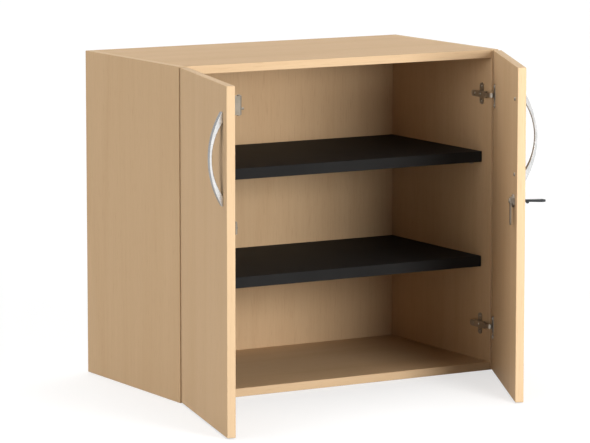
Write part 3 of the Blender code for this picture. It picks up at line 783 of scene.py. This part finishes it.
@dataclass
class Finishes:
    """The finishes that several pieces share, made once."""

    side: bpy.types.Material = field(init=False)
    level: bpy.types.Material = field(init=False)
    back: bpy.types.Material = field(init=False)
    black: bpy.types.Material = field(init=False)
    beech: bpy.types.Material = field(init=False)
    hinge: bpy.types.Material = field(init=False)
    fitting: bpy.types.Material = field(init=False)
    plastic: bpy.types.Material = field(init=False)

    def __post_init__(self) -> None:
        """Makes the materials."""
        self.side = WoodPrint("maple_side", Grain.UPRIGHT, Facing.SIDEWAYS.value, start=0.0).build()
        self.level = WoodPrint("maple_level", Grain.LEVEL, Facing.UPWARDS.value, start=5.0).build()
        self.back = WoodPrint("maple_back", Grain.UPRIGHT, Facing.FORWARDS.value, start=17.0).build()
        self.black = PlainMelamine("black_shelf").build()
        self.beech = TurnedBeech("beech_dowel").build()
        hinge = Plating("nickel_hinge", dull=(0.29, 0.26, 0.215), bright=(0.35, 0.31, 0.26))
        fitting = Plating("nickel_fitting", dull=(0.22, 0.195, 0.155), bright=(0.28, 0.245, 0.20))
        self.hinge = hinge.build()
        self.fitting = fitting.build()
        self.plastic = MouldedPlastic("key_plastic").build()


@dataclass
class Carcass:
    """The boards, shelves, dowels and shelf pins."""

    finishes: Finishes

    def build(self) -> None:
        """Dresses the whole carcass."""
        dress([f"{side.value}_side_panel" for side in Side], self.finishes.side)
        dress([f"{board.value}_panel" for board in LevelBoard], self.finishes.level)
        dress(["back_panel"], self.finishes.back)
        dress([f"{shelf.value}_shelf" for shelf in Level], self.finishes.black)
        for side in Side:
            for row in Row:
                self.dress_joinery(side, row)

    def dress_joinery(self, side: Side, row: Row) -> None:
        """Dresses the dowels and the shelf pins in one row of a side panel.

        Args:
            side: The panel's side.
            row: The row.
        """
        dowels = [f"{side.value}_{board.value}_{row.value}_dowel" for board in LevelBoard]
        pins = [f"{shelf.value}_shelf_{side.value}_{row.value}_pin" for shelf in Level]
        dress(dowels, self.finishes.beech)
        dress(pins, self.finishes.hinge)


@dataclass
class Hinge:
    """A cup hinge: plate and arm on the carcass, cup and pin in the door, and the screws they need."""

    finishes: Finishes
    side: Side
    level: Level
    parts: tuple[str, ...] = ("plate", "arm", "cup", "pin")
    plate_wing: float = 0.014
    plate_thickness: float = 0.002
    cup_wing: float = 0.013
    strap_rear_screw: float = 0.012
    strap_front_screw: float = 0.034
    wood_screw: CrossHead = CrossHead(radius=0.0036, height=0.0019)
    clamp_screw: CrossHead = CrossHead(radius=0.0033, height=0.0016, turn=0.9)

    @property
    def name(self) -> str:
        """The start of the hinge's node names."""
        return f"{self.side.value}_{self.level.value}_hinge"

    @property
    def inward(self) -> Vector:
        """The direction from the side panel into the cupboard."""
        return Vector((-self.side.sign, 0, 0))

    def build(self) -> None:
        """Dresses the hinge and adds its screws."""
        dress([f"{self.name}_{part}" for part in self.parts], self.finishes.hinge)
        self.screw_plate()
        self.screw_arm()
        self.screw_cup()

    def screw_plate(self) -> None:
        """Two screws through the plate's wing into the side panel."""
        low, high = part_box(f"{self.name}_plate")
        foot = low.x if self.side is Side.LEFT else high.x
        shape = bmesh.new()
        for z in (low.z + self.plate_wing / 2, high.z - self.plate_wing / 2):
            top = Vector((foot, (low.y + high.y) / 2, z)) + self.inward * self.plate_thickness
            self.wood_screw.add(shape, seat(top, self.inward))
        new_piece(f"{self.name}_plate_screws", shape, self.finishes.hinge, "carcass")

    def screw_arm(self) -> None:
        """The clamping screw and the adjusting screw on the arm's strap."""
        low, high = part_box(f"{self.name}_arm")
        top = high.x if self.side is Side.LEFT else low.x
        shape = bmesh.new()
        for from_rear in (self.strap_rear_screw, self.strap_front_screw):
            place = Vector((top, high.y - from_rear, (low.z + high.z) / 2))
            self.clamp_screw.add(shape, seat(place, self.inward))
        new_piece(f"{self.name}_arm_screws", shape, self.finishes.hinge, "carcass")

    def screw_cup(self) -> None:
        """Two screws through the cup's wing into the door."""
        leaf, cup = Leaf(self.side), f"{self.name}_cup"
        low, high = leaf.span(cup)
        shape = bmesh.new()
        for z in (low.z + self.cup_wing / 2, high.z - self.cup_wing / 2):
            place = leaf.matrix @ Vector((leaf.wing_line(cup, self.cup_wing), low.y, z))
            self.wood_screw.add(shape, seat(place, leaf.inward))
        new_piece(f"{cup}_screws", shape, self.finishes.hinge, f"{self.side.value}_door")


@dataclass
class Door:
    """A door leaf with its bow handle and the handle's screws."""

    finishes: Finishes
    side: Side
    grain_start: float
    handle_screw: MachineScrew = MachineScrew(CrossHead(radius=0.004, height=0.0024), shank=0.002)

    def build(self) -> None:
        """Dresses the door and its handle, and makes the handle's screws."""
        side, leaf = self.side.value, Leaf(self.side)
        inward = tuple(leaf.inward)
        board = WoodPrint(f"maple_{side}_door", Grain.UPRIGHT, inward, self.grain_start)
        dress([f"{side}_door"], board.build())
        dress([f"{side}_handle"], BowMetal(f"{side}_bow_metal", inward).build())
        for level in Level:
            node = f"{side}_handle_{level.value}_screw"
            self.handle_screw.stand_for(node, leaf, self.finishes.fitting, f"{side}_door")


@dataclass
class CamLock:
    """The lock in the right door and its key."""

    finishes: Finishes
    metal: tuple[str, ...] = ("lock_barrel", "lock_nut", "lock_plug", "lock_cam", "key_blade")
    cam_screw: MachineScrew = MachineScrew(
        CrossHead(radius=0.0055, height=0.0022, turn=0.7), shank=0.0015
    )

    def build(self) -> None:
        """Dresses the lock and the key, and makes the cam's screw."""
        dress(self.metal, self.finishes.fitting)
        dress(["key_bow"], self.finishes.plastic)
        self.cam_screw.stand_for("cam_screw", Leaf(Side.RIGHT), self.finishes.fitting, "lock")


@dataclass
class BoltSet:
    """The strike and the sliding bolt on the inside of the left door, with their screws."""

    finishes: Finishes
    metal: tuple[str, ...] = ("lock_strike", "bolt_guide", "door_bolt")
    guide_flange: float = 0.006
    guide_base: float = 0.0025
    screw_from_end: float = 0.007
    strike_inset: float = 0.008
    strike_screw: CrossHead = CrossHead(radius=0.0036, height=0.0018, turn=0.2)
    guide_screw: CrossHead = CrossHead(radius=0.0024, height=0.0013, turn=1.1)

    def build(self) -> None:
        """Dresses the fittings and adds their screws."""
        dress(self.metal, self.finishes.fitting)
        leaf = Leaf(Side.LEFT)
        self.screw_strike(leaf)
        self.screw_guide(leaf)

    def screw_strike(self, leaf: Leaf) -> None:
        """Two screws through the strike.

        Args:
            leaf: The left door's frame.
        """
        low, high = leaf.span("lock_strike")
        shape = bmesh.new()
        for along in (low.x + self.strike_inset, high.x - self.strike_inset):
            place = leaf.matrix @ Vector((along, low.y, (low.z + high.z) / 2))
            self.strike_screw.add(shape, seat(place, leaf.inward))
        new_piece("lock_strike_screws", shape, self.finishes.fitting, "left_door")

    def screw_guide(self, leaf: Leaf) -> None:
        """Four screws through the guide's flanges.

        Args:
            leaf: The left door's frame.
        """
        low, high = leaf.span("bolt_guide")
        shape = bmesh.new()
        for along in (low.x + self.guide_flange / 2, high.x - self.guide_flange / 2):
            for z in (low.z + self.screw_from_end, high.z - self.screw_from_end):
                place = leaf.matrix @ Vector((along, high.y - self.guide_base, z))
                self.guide_screw.add(shape, seat(place, leaf.inward))
        new_piece("bolt_guide_screws", shape, self.finishes.fitting, "left_door")


def compass(azimuth: float) -> Vector:
    """The level direction from the object to a lamp.

    Args:
        azimuth: Degrees from the front towards the right.

    Returns:
        A direction of length one.
    """
    turn = math.radians(azimuth)
    return Vector((math.sin(turn), -math.cos(turn), 0.0))


@dataclass(frozen=True)
class FarLamp:
    """A broad far lamp, whose light is even over the whole object."""

    name: str
    azimuth: float
    elevation: float
    level: float
    spread: float = 50.0

    def build(self) -> None:
        """Adds the lamp, with level 1 for a white surface that faces it."""
        data = bpy.data.lights.new(self.name, "SUN")
        data.energy = math.pi * self.level
        data.angle = math.radians(self.spread)
        lamp = bpy.data.objects.new(self.name, data)
        rise = math.radians(self.elevation)
        towards = compass(self.azimuth) * math.cos(rise) + Vector((0.0, 0.0, math.sin(rise)))
        lamp.rotation_euler = towards.to_track_quat("Z", "Y").to_euler()
        bpy.context.scene.collection.objects.link(lamp)
        LOG.info("lamp %s", self.name)


@dataclass(frozen=True)
class NearLamp:
    """A round softbox before the object, kept out of mirror images. Its light falls off downwards."""

    name: str
    azimuth: float
    distance: float
    height: float
    size: float
    level: float
    aim: Triple = (0.0, -0.23, 0.36)

    def build(self) -> None:
        """Adds the lamp, with level 1 for a white surface that faces it at its aim."""
        data = bpy.data.lights.new(self.name, "AREA")
        data.shape = "DISK"
        data.size = self.size
        aim = Vector(self.aim)
        place = aim + compass(self.azimuth) * self.distance
        place.z = self.height
        data.energy = math.pi ** 2 * (place - aim).length_squared * self.level
        lamp = bpy.data.objects.new(self.name, data)
        lamp.location = place
        lamp.rotation_euler = (place - aim).to_track_quat("Z", "Y").to_euler()
        lamp.visible_camera = False
        lamp.visible_glossy = False
        bpy.context.scene.collection.objects.link(lamp)
        LOG.info("lamp %s", self.name)


@dataclass
class Studio:
    """The pale floor, the lamps, the white surround and the camera."""

    floor_size: float = 160.0
    floor_level: float = -0.0008
    floor_grey: float = 0.41
    floor_lift: float = 0.63
    ambient: float = 0.10
    lens: float = 218.45
    sensor: float = 36.0
    camera_reach: float = 400.0
    camera_place: Triple = (-3.9404, -6.7780, 1.4362)
    camera_yaw: float = 30.213
    camera_pitch: float = 8.001
    lamps: tuple[FarLamp | NearLamp, ...] = (
        NearLamp("key", azimuth=4.0, distance=2.4, height=0.75, size=0.95, level=0.84),
        FarLamp("front_light", azimuth=12.0, elevation=5.0, level=0.49),
        FarLamp("left_front", azimuth=-68.0, elevation=4.0, level=0.26, spread=30.0),
        FarLamp("left_fill", azimuth=-85.0, elevation=5.0, level=0.65),
        FarLamp("right_fill", azimuth=115.0, elevation=15.0, level=0.42),
        FarLamp("top_light", azimuth=180.0, elevation=70.0, level=0.60),
    )

    def build(self) -> None:
        """Sets the whole studio."""
        bpy.context.scene.view_settings.view_transform = "Standard"
        self.lay_floor()
        self.light_world()
        for lamp in self.lamps:
            lamp.build()
        self.place_camera()

    @staticmethod
    def seen_directly(tree: bpy.types.NodeTree) -> Socket:
        """One for rays from the camera and in mirror images, else zero.

        Args:
            tree: The node tree that takes the nodes.

        Returns:
            The grey output.
        """
        path = tree.nodes.new("ShaderNodeLightPath")
        total = path.outputs["Is Camera Ray"]
        for kind in ("Is Glossy Ray", "Is Transmission Ray"):
            either = tree.nodes.new("ShaderNodeMath")
            either.operation = "MAXIMUM"
            tree.links.new(total, either.inputs[0])
            tree.links.new(path.outputs[kind], either.inputs[1])
            total = either.outputs[0]
        return total

    def lay_floor(self) -> None:
        """Lays the floor under the cupboard."""
        shape = bmesh.new()
        bmesh.ops.create_grid(shape, x_segments=1, y_segments=1, size=self.floor_size / 2)
        bmesh.ops.translate(shape, verts=shape.verts, vec=(0, 0, self.floor_level))
        mesh = bpy.data.meshes.new("floor")
        shape.to_mesh(mesh)
        shape.free()
        mesh.materials.append(self.paint_floor())
        floor = bpy.data.objects.new("floor", mesh)
        bpy.context.scene.collection.objects.link(floor)
        LOG.info("floor laid")

    def paint_floor(self) -> bpy.types.Material:
        """Makes a pale paint that reads white and keeps the shadow.

        Returns:
            The floor's material.
        """
        material = bpy.data.materials.new("pale_floor")
        material.use_nodes = True
        tree = material.node_tree
        tree.nodes.remove(tree.nodes["Principled BSDF"])
        paint = tree.nodes.new("ShaderNodeBsdfDiffuse")
        paint.inputs["Color"].default_value = (self.floor_grey, self.floor_grey, self.floor_grey, 1.0)
        level = tree.nodes.new("ShaderNodeMath")
        level.operation = "MULTIPLY"
        level.inputs[1].default_value = self.floor_lift
        tree.links.new(self.seen_directly(tree), level.inputs[0])
        glow = tree.nodes.new("ShaderNodeEmission")
        tree.links.new(level.outputs[0], glow.inputs["Strength"])
        both = tree.nodes.new("ShaderNodeAddShader")
        tree.links.new(paint.outputs[0], both.inputs[0])
        tree.links.new(glow.outputs[0], both.inputs[1])
        tree.links.new(both.outputs[0], tree.nodes["Material Output"].inputs["Surface"])
        return material

    def light_world(self) -> None:
        """White where it is seen, and an even grey where it lights."""
        world = bpy.data.worlds.new("surround")
        world.use_nodes = True
        tree = world.node_tree
        lit = tree.nodes["Background"]
        lit.inputs["Color"].default_value = (*WHITE, 1.0)
        lit.inputs["Strength"].default_value = self.ambient
        shown = tree.nodes.new("ShaderNodeBackground")
        shown.inputs["Color"].default_value = (*WHITE, 1.0)
        shown.inputs["Strength"].default_value = 1.0
        pick = tree.nodes.new("ShaderNodeMixShader")
        tree.links.new(self.seen_directly(tree), pick.inputs["Fac"])
        tree.links.new(lit.outputs[0], pick.inputs[1])
        tree.links.new(shown.outputs[0], pick.inputs[2])
        tree.links.new(pick.outputs[0], tree.nodes["World Output"].inputs["Surface"])
        bpy.context.scene.world = world

    def place_camera(self) -> None:
        """Puts the camera where the photograph was taken from."""
        data = bpy.data.cameras.new("camera")
        data.lens = self.lens
        data.sensor_fit = "HORIZONTAL"
        data.sensor_width = self.sensor
        data.clip_end = self.camera_reach
        camera = bpy.data.objects.new("camera", data)
        camera.location = self.camera_place
        tilt, yaw = math.radians(90.0 - self.camera_pitch), math.radians(-self.camera_yaw)
        camera.rotation_euler = (tilt, 0.0, yaw)
        bpy.context.scene.collection.objects.link(camera)
        bpy.context.scene.camera = camera


def main() -> None:
    """Builds the studio and dresses the cupboard, sub-assembly by sub-assembly."""
    logging.basicConfig(level=logging.INFO, format="%(name)s: %(message)s")
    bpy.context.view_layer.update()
    Studio().build()
    finishes = Finishes()
    Carcass(finishes).build()
    doors = (Door(finishes, Side.LEFT, grain_start=29.0), Door(finishes, Side.RIGHT, grain_start=41.0))
    for door in doors:
        door.build()
        for level in Level:
            Hinge(finishes, door.side, level).build()
    CamLock(finishes).build()
    BoltSet(finishes).build()


if __name__ == "__main__":
    main()
